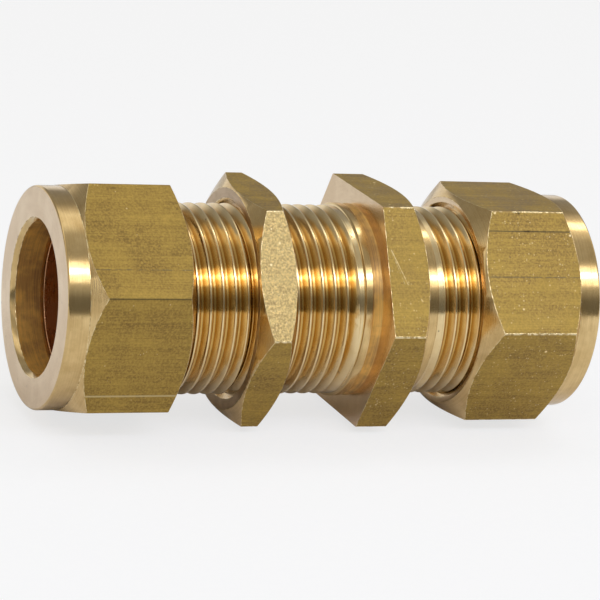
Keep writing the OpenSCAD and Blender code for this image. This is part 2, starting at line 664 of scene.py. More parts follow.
@dataclass
class LockNut(Piece):
    """The thin nut that clamps the panel against the flange; its faces are a little askew to its thread."""

    node: str = "lock_nut"
    body: str = "panel_nut"
    slot: str = "lock_nut_brass"
    thread: Thread = Thread()
    flats: float = 12.14
    turn: float = -2.4
    askew: tuple[float, float, float] = (0.0, -0.011, -0.032)
    countersink: float = 0.5

    def surface(self, centre: Vector, normal: Vector) -> Surface:
        """How a face of the lock nut was made.

        Args:
            centre: the face's centre, in millimetres.
            normal: its outward normal.

        Returns:
            The kind of surface.
        """
        radius = off_axis(centre)
        if radius > self.flats - 0.1 and abs(normal.x) < 0.1:
            if radius > self.flats * RIDGE:
                return Surface.EDGE
            # the flat that faces the soft box gets a grainier finish painted lighter and glinting: painted
            # light
            lit = math.degrees(math.atan2(normal.z, -normal.y)) - self.turn
            return Surface.SANDED if abs(lit - 30) < 5 else Surface.DRAWN
        if radius < self.thread.crest + 0.06:
            return Surface.THREAD
        return Surface.FACED if abs(normal.x) > 0.9 else Surface.TURNED

    def build(self, coats: Sequence[bpy.types.Material]) -> bpy.types.Object:
        """Build and dress the lock nut.

        Args:
            coats: its materials, one for each Surface.

        Returns:
            The finished piece.
        """
        low, high, reach = self.low, self.high, self.flats + 4
        left_bevel, right_bevel = self.flats - 0.16, self.flats - 0.05
        mesh = hexagon_bar("lock_nut", self.flats, low - 1, high + 1, self.turn, RIDGE_ROUND)
        outline = [
            (low, 5), (low, left_bevel), (low + (reach - left_bevel) * BEVEL_SLOPE, reach),
            (high - (reach - right_bevel) * BEVEL_SLOPE, reach), (high, right_bevel), (high, 5),
        ]
        cut_with(mesh, turn_solid("lock_nut_outline", outline), Cut.KEEP)
        take_up(mesh)
        centre = Matrix.Translation(((low + high) / 2 * MM, 0, 0))
        mesh.matrix_world = centre @ Euler(self.askew).to_matrix().to_4x4() @ centre.inverted()
        bpy.ops.object.transform_apply(location=True, rotation=True, scale=True)
        mouth = self.thread.crest + self.countersink
        minor = self.thread.minor
        bore = [
            (low - 1, 0), (low - 1, mouth + 1), (low + mouth - minor, minor),
            (high - mouth + minor, minor), (high + 1, mouth + 1), (high + 1, 0),
        ]
        cut_with(mesh, turn_solid("lock_nut_bore", bore), Cut.TAKE)
        clean_up(mesh)
        break_edges(mesh, EDGE_ROUND, coats)
        tap = self.thread.rod("tap", low - 0.6, high + 0.6, full_depth, female=True)
        cut_with(mesh, tap, Cut.TAKE)
        clean_up(mesh)
        shade(mesh)
        paint(mesh, coats, self.surface)
        return self.hand_over(mesh)


@dataclass
class CompressionNut(Piece):
    """A nut with a plain turned collar, which presses an olive onto the tube."""

    end: End = End.LEFT
    turn: float = 16.0
    slot: str = "nut_brass"
    thread: Thread = Thread()
    flats: float = 11.899
    collar: float = 11.849
    collar_length: float = 2.4
    bore: float = 8.0875
    bore_length: float = 3.3
    pocket: float = 8.9975
    mouth_bevel: float = 30.0
    mouth_drop: float = 0.4
    rubbed_ridges: bool = True
    rim: float = 0.4
    relief: float = 5.65
    countersink: float = 0.5

    def lay(self, stations: Iterable[Station]) -> list[Station]:
        """Turn places counted from the outer face inwards into places along X."""
        outer = self.low if self.end is End.LEFT else self.high
        return [(outer - self.end.value * s, r) for s, r in stations]

    def surface(self, centre: Vector, normal: Vector) -> Surface:
        """How a face of the nut was made.

        Args:
            centre: the face's centre, in millimetres.
            normal: its outward normal.

        Returns:
            The kind of surface.
        """
        radius = off_axis(centre)
        if radius > self.flats - 0.015 and abs(normal.x) < 0.05:
            rubbed = self.rubbed_ridges and radius > self.flats * RIDGE
            return Surface.EDGE if rubbed else Surface.DRAWN
        outer = self.low if self.end is End.LEFT else self.high
        inside = abs(centre.x - outer)
        if radius < self.thread.crest + 0.06 and inside > self.relief + 0.05:
            return Surface.THREAD
        on_rim = inside < self.rim + 0.15 and radius < self.bore + self.rim
        if on_rim and 0.3 < abs(normal.x) < 0.9:
            return Surface.TURNED
        if radius < self.pocket + 0.02:
            return Surface.BORED
        return Surface.FACED if abs(normal.x) > 0.9 else Surface.TURNED

    def build(self, coats: Sequence[bpy.types.Material]) -> bpy.types.Object:
        """Build and dress the nut.

        Args:
            coats: its materials, one for each Surface.

        Returns:
            The finished piece.
        """
        length = self.high - self.low
        reach, bevel = self.flats + 4, self.flats - self.mouth_drop
        front = (reach - self.collar) * math.tan(math.radians(35))
        rear = (reach - bevel) * math.tan(math.radians(self.mouth_bevel))
        mesh = hexagon_bar("nut", self.flats, self.low - 1, self.high + 1, self.turn, RIDGE_ROUND)
        outline = [
            (0, 5), (0, self.collar), (self.collar_length, self.collar),
            (self.collar_length + front, reach), (length - rear, reach), (length, bevel), (length, 5),
        ]
        outline = round_corners(outline, {1: 0.3})
        cut_with(mesh, turn_solid("nut_outline", self.lay(outline)), Cut.KEEP)
        minor = self.thread.minor
        mouth = self.thread.crest + self.countersink
        seat_end = self.bore_length + self.pocket - self.bore
        bore = [
            (-1, 0), (-1, self.bore + self.rim), (0, self.bore + self.rim),
            (self.rim + 0.1, self.bore), (self.bore_length, self.bore), (seat_end, self.pocket),
            (self.relief, self.pocket), (self.relief, self.thread.crest + 0.08),
            (self.relief + 0.7, self.thread.crest + 0.08), (self.relief + 1.2, minor),
            (length - mouth + minor, minor), (length + 1, mouth + 1), (length + 1, 0),
        ]
        cut_with(mesh, turn_solid("nut_bore", self.lay(bore)), Cut.TAKE)
        clean_up(mesh)
        break_edges(mesh, EDGE_ROUND, coats)
        ends = sorted(x for x, _ in self.lay([(self.relief + 0.4, 0), (length + 0.6, 0)]))
        tap = self.thread.rod("tap", *ends, full_depth, female=True)
        cut_with(mesh, tap, Cut.TAKE)
        clean_up(mesh)
        shade(mesh)
        paint(mesh, coats, self.surface)
        return self.hand_over(mesh)


@dataclass
class Olive(Piece):
    """The soft ring that is pressed between the nut, the body and the tube."""

    end: End = End.LEFT
    slot: str = "olive_copper"
    bore: float = 8.0175
    blunt: float = 8.3675
    belly: float = 8.8975
    tip: float = 8.2875

    def build(self, coats: Sequence[bpy.types.Material]) -> bpy.types.Object:
        """Build and dress the olive.

        Args:
            coats: its materials, one for each Surface.

        Returns:
            The finished piece.
        """
        length = self.high - self.low
        rise = self.belly - self.blunt
        fall = (self.belly - self.tip) / 0.25
        section = [
            (0, self.bore), (0, self.blunt), (rise, self.belly), (length - fall, self.belly),
            (length, self.tip), (length, self.bore),
        ]
        section = round_corners(section, {0: 0.08, 1: 0.12, 2: 0.3, 3: 0.5, 4: 0.1, 5: 0.06})
        outer = self.low if self.end is End.LEFT else self.high
        mesh = turn_solid("olive", [(outer - self.end.value * s, r) for s, r in section])
        shade(mesh)
        paint(mesh, coats, lambda centre, normal: Surface.TURNED)
        return self.hand_over(mesh)


# ---------------------------------------------------------------- finishes


@dataclass
class NodeBench:
    """A node tree being wired up."""

    tree: bpy.types.NodeTree

    def put(
        self, kind: str, inputs: dict[str | int, Wire] | None = None, **settings: object
    ) -> bpy.types.Node:
        """Place one node, set it and wire its inputs.

        Args:
            kind: the node's type name.
            inputs: input name or number to a value, or to a socket that feeds it.
            settings: the node's own settings.

        Returns:
            The node.
        """
        node = self.tree.nodes.new(kind)
        for name, value in settings.items():
            setattr(node, name, value)
        for key, value in (inputs or {}).items():
            if isinstance(value, bpy.types.NodeSocket):
                self.tree.links.new(value, node.inputs[key])
            else:
                node.inputs[key].default_value = value
        return node

    def math(self, operation: str, *values: Wire) -> bpy.types.NodeSocket:
        """A sum of one, two or three values."""
        return self.put("ShaderNodeMath", dict(enumerate(values)), operation=operation).outputs[0]

    def vector(self, operation: str, *values: Wire) -> bpy.types.Node:
        """A vector sum; the node is returned because some give a value and some a vector."""
        return self.put("ShaderNodeVectorMath", dict(enumerate(values)), operation=operation)

    def fade(
        self, value: Wire, low: Wire, high: Wire, start: Wire = 0.0, end: Wire = 1.0
    ) -> bpy.types.NodeSocket:
        """Carry a value smoothly from start to end while it goes from low to high.

        Args:
            value: what is followed.
            low: where the change begins.
            high: where it is complete.
            start: the result at low.
            end: the result at high.

        Returns:
            The result.
        """
        inputs = {"Value": value, "From Min": low, "From Max": high, "To Min": start, "To Max": end}
        node = self.put("ShaderNodeMapRange", inputs, interpolation_type="SMOOTHSTEP")
        return node.outputs["Result"]

    def noise(
        self, vector: Wire, scale: Wire, detail: float = 3.0, rough: float = 0.55
    ) -> bpy.types.NodeSocket:
        """Soft noise from 0 to 1."""
        inputs = {"Vector": vector, "Scale": scale, "Detail": detail, "Roughness": rough}
        return self.put("ShaderNodeTexNoise", inputs).outputs["Fac"]

    def mix(self, share: Wire, first: Wire, second: Wire) -> bpy.types.NodeSocket:
        """Mix two colours."""
        inputs = {0: share, 6: first, 7: second}
        return self.put("ShaderNodeMix", inputs, data_type="RGBA", clamp_factor=True).outputs[2]

    def place(self) -> bpy.types.NodeSocket:
        """The place on the piece, in metres."""
        return self.put("ShaderNodeTexCoord").outputs["Object"]

    def effect(self, group: bpy.types.NodeTree, **values: Wire) -> bpy.types.Node:
        """Place a shared effect with its own values."""
        inputs = {key.replace("_", " "): value for key, value in values.items()}
        return self.put("ShaderNodeGroup", inputs, node_tree=group)

    def mask(self, group: bpy.types.NodeTree, **values: Wire) -> bpy.types.NodeSocket:
        """Place a shared effect and take its first value."""
        return self.effect(group, **values).outputs[0]

    def times(self, first: Wire, second: Wire) -> bpy.types.NodeSocket:
        """One value times another."""
        return self.math("MULTIPLY", first, second)


def shared_effect(
    name: str, inputs: dict[str, tuple[str, object]], outputs: Sequence[str]
) -> tuple[NodeBench, bpy.types.Node, bpy.types.Node]:
    """Begin a node group.

    Args:
        name: the group's name.
        inputs: input name to its kind, Float or Vector, and its usual value.
        outputs: names of the values it gives.

    Returns:
        The bench, and the group's own input and output nodes.
    """
    tree = bpy.data.node_groups.new(name, "ShaderNodeTree")
    for key, (kind, usual) in inputs.items():
        socket = tree.interface.new_socket(key, in_out="INPUT", socket_type="NodeSocket" + kind)
        socket.default_value = usual
    for key in outputs:
        tree.interface.new_socket(key, in_out="OUTPUT", socket_type="NodeSocketFloat")
    bench = NodeBench(tree)
    return bench, bench.put("NodeGroupInput"), bench.put("NodeGroupOutput")


class Effects:
    """The effects that the finishes share, each built once."""

    def __init__(self) -> None:
        """Build every group."""
        self.drawn_lines = self.build_drawn_lines()
        self.turning_rings = self.build_turning_rings()
        self.clouds = self.build_clouds()
        self.specks = self.build_specks()
        self.seam = self.build_seam()
        self.scratch = self.build_scratch()

    def build_drawn_lines(self) -> bpy.types.NodeTree:
        """Lines along X from the drawing die.

        Returns:
            The node group.
        """
        bench, given, result = shared_effect(
            "drawn_lines",
            {"Lines per Metre": ("Float", 5000.0), "Stretch": ("Float", 40.0)},
            ["Lines"],
        )
        squeeze = bench.math("DIVIDE", 1.0, given.outputs["Stretch"])
        along = bench.put("ShaderNodeCombineXYZ", {"X": squeeze, "Y": 1.0, "Z": 1.0}).outputs[0]
        place = bench.vector("MULTIPLY", bench.place(), along).outputs[0]
        lines = bench.noise(place, given.outputs["Lines per Metre"], 2.5, 0.6)
        bench.tree.links.new(bench.fade(lines, 0.3, 0.7), result.inputs["Lines"])
        return bench.tree

    def build_turning_rings(self) -> bpy.types.NodeTree:
        """Rings about X from the turning tool.

        Returns:
            The node group.
        """
        bench, given, result = shared_effect(
            "turning_rings",
            {"Rings per Metre": ("Float", 6000.0), "Break": ("Float", 0.3)},
            ["Rings", "Radius"],
        )
        parts = bench.put("ShaderNodeSeparateXYZ", {0: bench.place()}).outputs
        across, upward = (bench.math("MULTIPLY", part, part) for part in (parts[1], parts[2]))
        radius = bench.math("SQRT", bench.math("ADD", across, upward))
        stretch = bench.math("MULTIPLY", given.outputs["Break"], MM)
        angle = bench.math("MULTIPLY", bench.math("ARCTAN2", parts[2], parts[1]), stretch)
        around = bench.put("ShaderNodeCombineXYZ", {"X": parts[0], "Y": radius, "Z": angle}).outputs[0]
        rings = bench.noise(around, given.outputs["Rings per Metre"], 2.0, 0.6)
        bench.tree.links.new(bench.fade(rings, 0.3, 0.7), result.inputs["Rings"])
        bench.tree.links.new(radius, result.inputs["Radius"])
        return bench.tree

    def build_clouds(self) -> bpy.types.NodeTree:
        """Soft uneven tarnish.

        Returns:
            The node group.
        """
        bench, given, result = shared_effect(
            "clouds",
            {"Patches per Metre": ("Float", 300.0), "Low": ("Float", 0.4), "High": ("Float", 0.65)},
            ["Cover"],
        )
        noise = bench.noise(bench.place(), given.outputs["Patches per Metre"], 5.0, 0.6)
        cover = bench.fade(noise, given.outputs["Low"], given.outputs["High"])
        bench.tree.links.new(cover, result.inputs["Cover"])
        return bench.tree

    def build_specks(self) -> bpy.types.NodeTree:
        """Scattered small dots, each of its own size.

        Returns:
            The node group.
        """
        bench, given, result = shared_effect(
            "specks",
            {"Specks per Metre": ("Float", 1500.0), "Share": ("Float", 0.2), "Size": ("Float", 0.25)},
            ["Specks"],
        )
        spread = {"Vector": bench.place(), "Scale": given.outputs["Specks per Metre"], "Randomness": 1.0}
        cells = bench.put("ShaderNodeTexVoronoi", spread)
        chance = bench.put("ShaderNodeSeparateColor", {0: cells.outputs["Color"]}).outputs
        chosen = bench.math("LESS_THAN", chance[0], given.outputs["Share"])
        growth = bench.math("ADD", bench.math("MULTIPLY", chance[1], 0.8), 0.2)
        size = bench.math("MULTIPLY", given.outputs["Size"], growth)
        dot = bench.fade(cells.outputs["Distance"], bench.math("MULTIPLY", size, 0.5), size, 1.0, 0.0)
        bench.tree.links.new(bench.math("MULTIPLY", dot, chosen), result.inputs["Specks"])
        return bench.tree

    def build_seam(self) -> bpy.types.NodeTree:
        """A line along X at one angle about the axis, as a mark in the drawing die leaves.

        Returns:
            The node group.
        """
        bench, given, result = shared_effect(
            "seam",
            {"Angle": ("Float", 0.0), "Width": ("Float", 0.1 * MM), "Gaps": ("Float", 0.5)},
            ["Line"],
        )
        parts = bench.put("ShaderNodeSeparateXYZ", {0: bench.place()}).outputs
        sine = bench.math("SINE", given.outputs["Angle"])
        cosine = bench.math("COSINE", given.outputs["Angle"])
        y_sine, y_cosine = (bench.math("MULTIPLY", parts[1], share) for share in (sine, cosine))
        z_sine, z_cosine = (bench.math("MULTIPLY", parts[2], share) for share in (sine, cosine))
        across = bench.math("ADD", y_sine, z_cosine)
        outward = bench.math("SUBTRACT", z_sine, y_cosine)
        line = bench.fade(bench.math("ABSOLUTE", across), 0.0, given.outputs["Width"], 1.0, 0.0)
        right_side = bench.math("GREATER_THAN", outward, 0.0)
        along = bench.put("ShaderNodeCombineXYZ", {"X": parts[0]}).outputs[0]
        gaps = given.outputs["Gaps"]
        breaks = bench.fade(bench.noise(along, 900.0, 3.0), bench.math("SUBTRACT", gaps, 0.12), gaps)
        shown = bench.math("MULTIPLY", bench.math("MULTIPLY", line, right_side), breaks)
        bench.tree.links.new(shown, result.inputs["Line"])
        return bench.tree

    def build_scratch(self) -> bpy.types.NodeTree:
        """A straight scratch from one place to another.

        Returns:
            The node group.
        """
        bench, given, result = shared_effect(
            "scratch",
            {
                "Start": ("Vector", (0.0, 0.0, 0.0)),
                "End": ("Vector", (0.01, 0.0, 0.0)),
                "Width": ("Float", 0.1 * MM),
            },
            ["Scratch"],
        )
        run = bench.vector("SUBTRACT", given.outputs["End"], given.outputs["Start"]).outputs[0]
        here = bench.vector("SUBTRACT", bench.place(), given.outputs["Start"]).outputs[0]
        ahead = bench.vector("DOT_PRODUCT", here, run).outputs["Value"]
        whole = bench.vector("DOT_PRODUCT", run, run).outputs["Value"]
        share = bench.math("DIVIDE", ahead, whole)
        held = bench.put("ShaderNodeClamp", {"Value": share}).outputs[0]
        foot = bench.put("ShaderNodeVectorMath", {0: run, "Scale": held}, operation="SCALE").outputs[0]
        away = bench.vector("DISTANCE", here, foot).outputs["Value"]
        ragged = bench.fade(bench.noise(bench.place(), 2500.0), 0.3, 0.7, 0.3, 1.3)
        width = bench.math("MULTIPLY", given.outputs["Width"], ragged)
        bench.tree.links.new(bench.fade(away, 0.0, width, 1.0, 0.0), result.inputs["Scratch"])
        return bench.tree


@dataclass(frozen=True)
class Seam:
    """A drawn line along a flat: its angle above the front in degrees, width in mm, and tone."""

    angle: float
    width: float = 0.12
    tone: float = 0.4
    gaps: float = 0.4


@dataclass(frozen=True)
class Scratch:
    """A scratch between two places, in millimetres; a bright one has fresh metal in it."""

    start: tuple[float, float, float]
    end: tuple[float, float, float]
    width: float = 0.12
    bright: bool = True


def toned(colour: Colour, share: float) -> Colour:
    """A colour made lighter or darker."""
    return tuple(share * part for part in colour[:3]) + (1.0,)


def new_material(name: str) -> tuple[bpy.types.Material, NodeBench, bpy.types.Node]:
    """A material with a Principled shader, ready to be wired.

    Args:
        name: the material's name.

    Returns:
        The material, its bench and its shader.
    """
    material = bpy.data.materials.new(name)
    material.use_nodes = True
    return material, NodeBench(material.node_tree), material.node_tree.nodes["Principled BSDF"]


def finish_off(
    bench: NodeBench,
    shader: bpy.types.Node,
    colour: Wire,
    roughness: Wire,
    height: Wire,
    depth: float,
    film: float = 0.0,
) -> None:
    """Wire colour, roughness and relief to a metal's shader.

    Args:
        bench: the material's bench.
        shader: its Principled shader.
        colour: feeds Base Color.
        roughness: feeds Roughness.
        height: the relief, 0 to 1.
        depth: how deep the relief is, in metres.
        film: how much of a clear film of oil lies on the metal, 0 to 1.
    """
    bump = bench.put("ShaderNodeBump", {"Height": height, "Distance": depth, "Strength": 1.0})
    shader.inputs["Metallic"].default_value = 1.0
    shader.inputs["Coat Weight"].default_value = film
    shader.inputs["Coat Roughness"].default_value = 0.1
    wires = {"Base Color": colour, "Roughness": roughness, "Normal": bump.outputs[0]}
    for socket, wire in wires.items():
        bench.tree.links.new(wire, shader.inputs[socket])


@dataclass(frozen=True)
class DrawnBrass:
    """The flats of drawn hexagon bar: dull, olive brown, with fine lines along the bar and painted glints.
    """

    name: str
    colour: Colour = (0.44, 0.295, 0.064, 1.0)
    shadow: Colour = (0.185, 0.108, 0.030, 1.0)
    # fresh metal colour, also used for the painted glints
    fresh_metal_and_glint: Colour = (0.86, 0.70, 0.36, 1.0)
    dirt: Colour = (0.12, 0.065, 0.04, 1.0)
    nick: Colour = (0.05, 0.035, 0.015, 1.0)
    roughness: float = 0.55
    metallic: float = 0.78
    grain: float = 0.7
    # share of pale specks painted in as glints of light
    painted_glint_share: float = 0.012
    depth: float = 0.012
    seams: tuple[Seam, ...] = ()
    scratches: tuple[Scratch, ...] = ()

    def build(self, effects: Effects) -> bpy.types.Material:
        """Wire the material.

        Args:
            effects: the shared effects.

        Returns:
            The material.
        """
        material, bench, shader = new_material(self.name)
        fine = bench.mask(effects.drawn_lines, Lines_per_Metre=7000.0, Stretch=60.0)
        broad = bench.mask(effects.drawn_lines, Lines_per_Metre=900.0, Stretch=25.0)
        grit = bench.mask(effects.clouds, Patches_per_Metre=4200.0, Low=0.35, High=0.7)
        patches = bench.mask(effects.clouds, Patches_per_Metre=260.0, Low=0.38, High=0.66)
        # painted glints: pale specks and glints in the fresh metal colour stand for light catching the
        # grain
        pale = bench.mask(effects.specks, Specks_per_Metre=900.0, Share=self.painted_glint_share, Size=0.2)
        glint = bench.mask(effects.specks, Specks_per_Metre=3300.0, Share=self.painted_glint_share * 2.5, Size=0.4)
        dark = bench.mask(effects.specks, Specks_per_Metre=1500.0, Share=0.09, Size=0.24)
        lines = bench.math("ADD", bench.times(fine, 0.55), bench.times(broad, 0.45))
        tone = bench.math("ADD", bench.times(lines, 0.6), bench.times(patches, 0.4))
        colour = bench.mix(tone, self.shadow, self.colour)
        colour = bench.mix(bench.times(grit, self.grain * 0.6), colour, toned(self.colour, 1.6))
        colour = bench.mix(bench.times(dark, 0.5), colour, self.dirt)
        colour = bench.mix(bench.times(glint, 0.5), colour, self.fresh_metal_and_glint)
        colour = bench.mix(pale, colour, self.fresh_metal_and_glint)
        height = bench.math("ADD", bench.times(fine, 0.45), bench.times(grit, self.grain))
        wear = bench.math("ADD", grit, patches)
        roughness = bench.fade(wear, 0.0, 2.0, self.roughness - 0.07, self.roughness + 0.07)
        for seam in self.seams:
            angle, width = math.radians(seam.angle), seam.width * MM
            line = bench.mask(effects.seam, Angle=angle, Width=width, Gaps=seam.gaps)
            colour = bench.mix(bench.times(line, 0.8), colour, toned(self.fresh_metal_and_glint, seam.tone))
            height = bench.math("SUBTRACT", height, bench.times(line, 1.2))
        for scratch in self.scratches:
            start, end = (tuple(c * MM for c in place) for place in (scratch.start, scratch.end))
            mark = bench.mask(effects.scratch, Start=start, End=end, Width=scratch.width * MM)
            colour = bench.mix(mark, colour, self.fresh_metal_and_glint if scratch.bright else self.nick)
            height = bench.math("SUBTRACT", height, bench.times(mark, 2.0))
        finish_off(bench, shader, colour, roughness, height, self.depth * MM)
        shader.inputs["Metallic"].default_value = self.metallic
        return material


@dataclass(frozen=True)
class TurnedBrass:
    """Faces left by a turning tool: bright, with fine rings about the axis."""

    name: str
    colour: Colour = (0.82, 0.60, 0.28, 1.0)
    shadow: Colour = (0.56, 0.37, 0.14, 1.0)
    dirt: Colour = (0.16, 0.10, 0.04, 1.0)
    roughness: float = 0.12
    depth: float = 0.0022
    film: float = 0.3
    metallic: float = 1.0

    def build(self, effects: Effects) -> bpy.types.Material:
        """Wire the material.

        Args:
            effects: the shared effects.

        Returns:
            The material.
        """
        material, bench, shader = new_material(self.name)
        fine = bench.mask(effects.turning_rings, Rings_per_Metre=9000.0, Break=0.25)
        broad = bench.mask(effects.turning_rings, Rings_per_Metre=1300.0, Break=0.5)
        patches = bench.mask(effects.clouds, Patches_per_Metre=330.0, Low=0.36, High=0.68)
        marks = bench.mask(effects.specks, Specks_per_Metre=900.0, Share=0.05, Size=0.18)
        rings = bench.math("ADD", bench.times(fine, 0.6), bench.times(broad, 0.4))
        tone = bench.math("ADD", bench.times(rings, 0.45), bench.times(patches, 0.55))
        colour = bench.mix(tone, self.shadow, self.colour)
        colour = bench.mix(bench.times(marks, 0.6), colour, self.dirt)
        roughness = bench.fade(tone, 0.0, 1.0, self.roughness + 0.06, self.roughness - 0.02)
        finish_off(bench, shader, colour, roughness, rings, self.depth * MM, self.film)
        shader.inputs["Metallic"].default_value = self.metallic
        return material


@dataclass(frozen=True)
class ThreadBrass:
    """Cut thread: bright crests, and painted shade and inter-reflection, a darker deep orange brown, down
    in the roots.
    """

    name: str
    crest_radius: float = 10.319
    depth: float = 0.866
    crest: Colour = (0.84, 0.65, 0.33, 1.0)
    # root colour: painted shade and painted inter-reflection down in the thread's roots
    root: Colour = (0.58, 0.34, 0.07, 1.0)
    dirt: Colour = (0.14, 0.08, 0.03, 1.0)
    roughness: float = 0.13

    def build(self, effects: Effects) -> bpy.types.Material:
        """Wire the material.

        Args:
            effects: the shared effects.

        Returns:
            The material.
        """
        material, bench, shader = new_material(self.name)
        rings = bench.effect(effects.turning_rings, Rings_per_Metre=11000.0, Break=0.4)
        patches = bench.mask(effects.clouds, Patches_per_Metre=420.0, Low=0.36, High=0.7)
        marks = bench.mask(effects.specks, Specks_per_Metre=1300.0, Share=0.06, Size=0.2)
        lowest, highest = (self.crest_radius - self.depth) * MM, (self.crest_radius - 0.02) * MM
        # painted shade: the colour darkens from crest to root by radius
        rise = bench.fade(rings.outputs["Radius"], lowest, highest)
        tone = bench.math("SUBTRACT", rise, bench.times(patches, 0.25))
        colour = bench.mix(tone, self.root, self.crest)
        colour = bench.mix(bench.times(marks, 0.7), colour, self.dirt)
        roughness = bench.fade(patches, 0.0, 1.0, self.roughness - 0.03, self.roughness + 0.08)
        finish_off(bench, shader, colour, roughness, rings.outputs["Rings"], 0.002 * MM, 1.0)
        return material


@dataclass(frozen=True)
class RubbedEdge:
    """Rims and ridges rubbed bright, here and there still dull."""

    name: str
    bright: Colour = (0.90, 0.74, 0.42, 1.0)
    dull: Colour = (0.42, 0.28, 0.10, 1.0)

    def build(self, effects: Effects) -> bpy.types.Material:
        """Wire the material.

        Args:
            effects: the shared effects.

        Returns:
            The material.
        """
        material, bench, shader = new_material(self.name)
        wear = bench.mask(effects.clouds, Patches_per_Metre=1600.0, Low=0.42, High=0.56)
        grit = bench.mask(effects.clouds, Patches_per_Metre=5000.0, Low=0.35, High=0.7)
        colour = bench.mix(wear, self.dull, self.bright)
        roughness = bench.fade(wear, 0.0, 1.0, 0.42, 0.2)
        finish_off(bench, shader, colour, roughness, grit, 0.008 * MM)
        return material


# ---------------------------------------------------------------- the studio


